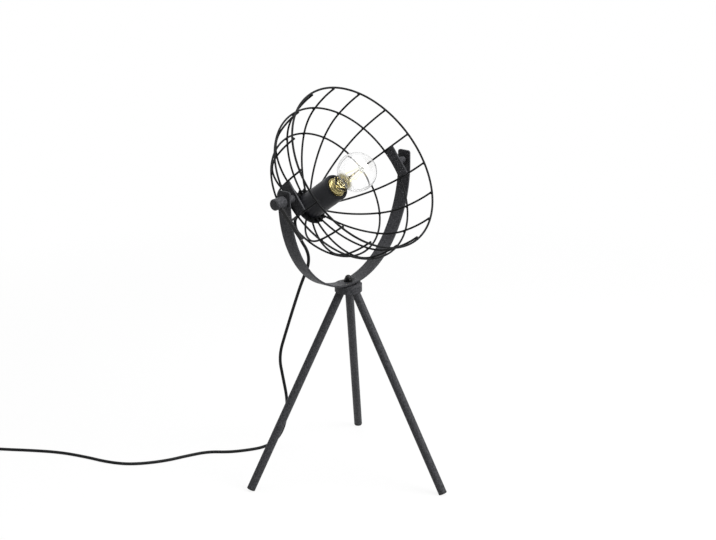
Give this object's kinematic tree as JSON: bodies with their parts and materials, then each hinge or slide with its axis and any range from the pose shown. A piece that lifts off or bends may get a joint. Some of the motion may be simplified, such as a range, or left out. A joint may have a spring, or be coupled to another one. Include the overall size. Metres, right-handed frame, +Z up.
{
  "type": "tabletop searchlight lamp",
  "caption": "Tripod table lamp with an open wire bowl and a bare globe bulb, tilting in a strip yoke that swivels on the tripod, with a corded in-line switch and plug.",
  "frame": {"origin": "on the table top, under the swivel axis at the middle of the tripod", "axes": "+Z up along the swivel axis; the tilt axis is parallel to X with the knob at -X; the bowl looks towards -Y and upwards"},
  "size_m": [0.6206, 0.7324, 0.6135],
  "materials": {
    "black_metal": "satin powder coat",
    "zinc_steel": "zinc plated",
    "black_plastic": "moulded, satin",
    "insulator": "moulded thermoset",
    "nylon": "natural",
    "foot_rubber": "matt",
    "cord_sheath": "smooth",
    "brass": "drawn",
    "plated_pins": "nickel plated",
    "clear_glass": "blown, clear",
    "filament": "phosphor coated"
  },
  "bodies": {
    "tripod": {"tripod_hub": "black_metal", "hub_bolt": "zinc_steel", "swivel_washer": "nylon", "nut_washer": "black_metal", "cap_nut": "black_metal", "leg_front": "black_metal", "leg_right": "black_metal", "leg_left": "black_metal", "foot_cap_front": "foot_rubber", "foot_cap_right": "foot_rubber", "foot_cap_left": "foot_rubber", "cord_upper": "cord_sheath", "cord_lower": "cord_sheath", "cord_link": "cord_sheath", "cord_tail": "cord_sheath", "cord_coil": "cord_sheath", "switch_base": "black_plastic", "switch_cover": "black_plastic", "switch_screws": "zinc_steel", "switch_contacts": "brass", "plug_body": "black_plastic", "plug_pins": "plated_pins"},
    "yoke": {"yoke": "black_metal", "stop_pin": "black_metal"},
    "head": {"pivot_plate_left": "black_metal", "pivot_plate_right": "black_metal", "pivot_boss_left": "black_metal", "pivot_boss_right": "black_metal", "screw_washer": "black_metal", "pivot_screw": "black_metal", "cage_rim": "black_metal", "cage_ring_middle": "black_metal", "cage_ring_inner": "black_metal", "cage_ribs": "black_metal", "cage_disc": "black_metal", "holder_nipple": "zinc_steel", "holder_locknut": "zinc_steel", "filament_hook": "zinc_steel", "holder_cap": "black_plastic", "holder_shell": "black_plastic", "cord_grip": "black_plastic", "holder_insert": "insulator", "bulb_insulator": "insulator", "pivot_washer_left": "nylon", "pivot_washer_right": "nylon", "lever_washer": "nylon", "holder_screw_shell": "brass", "centre_contact": "brass", "bulb_base": "brass", "bulb_contact": "brass", "bulb_glass": "clear_glass", "bulb_stem": "clear_glass", "bulb_filaments": "filament"},
    "knob": {"tilt_knob": "black_metal", "tilt_knob_stud": "zinc_steel", "tilt_lever": "black_metal"},
    "rocker": {"switch_rocker": "black_plastic"}
  },
  "joints": [
    {"name": "swivel", "type": "hinge", "parent": "tripod", "child": "yoke", "pos_m": [0, 0, 0.3144], "axis": [0, 0, 1], "range_deg": [-150, 150], "deforming": ["cord_upper"]},
    {"name": "tilt", "type": "hinge", "parent": "yoke", "child": "head", "pos_m": [0, 0, 0.4797], "axis": [-1, 0, 0], "range_deg": [-80, 45], "deforming": ["cord_upper"]},
    {"name": "knob_turn", "type": "hinge", "parent": "head", "child": "knob", "pos_m": [-0.1483, 0, 0.4797], "axis": [-1, 0, 0], "range_deg": [0, 90]},
    {"name": "switch_rock", "type": "hinge", "parent": "tripod", "child": "rocker", "pos_m": [-0.354, 0.539, 0.0138], "axis": [-0.2588, -0.9659, 0], "range_deg": [-16, 0]}
  ]
}
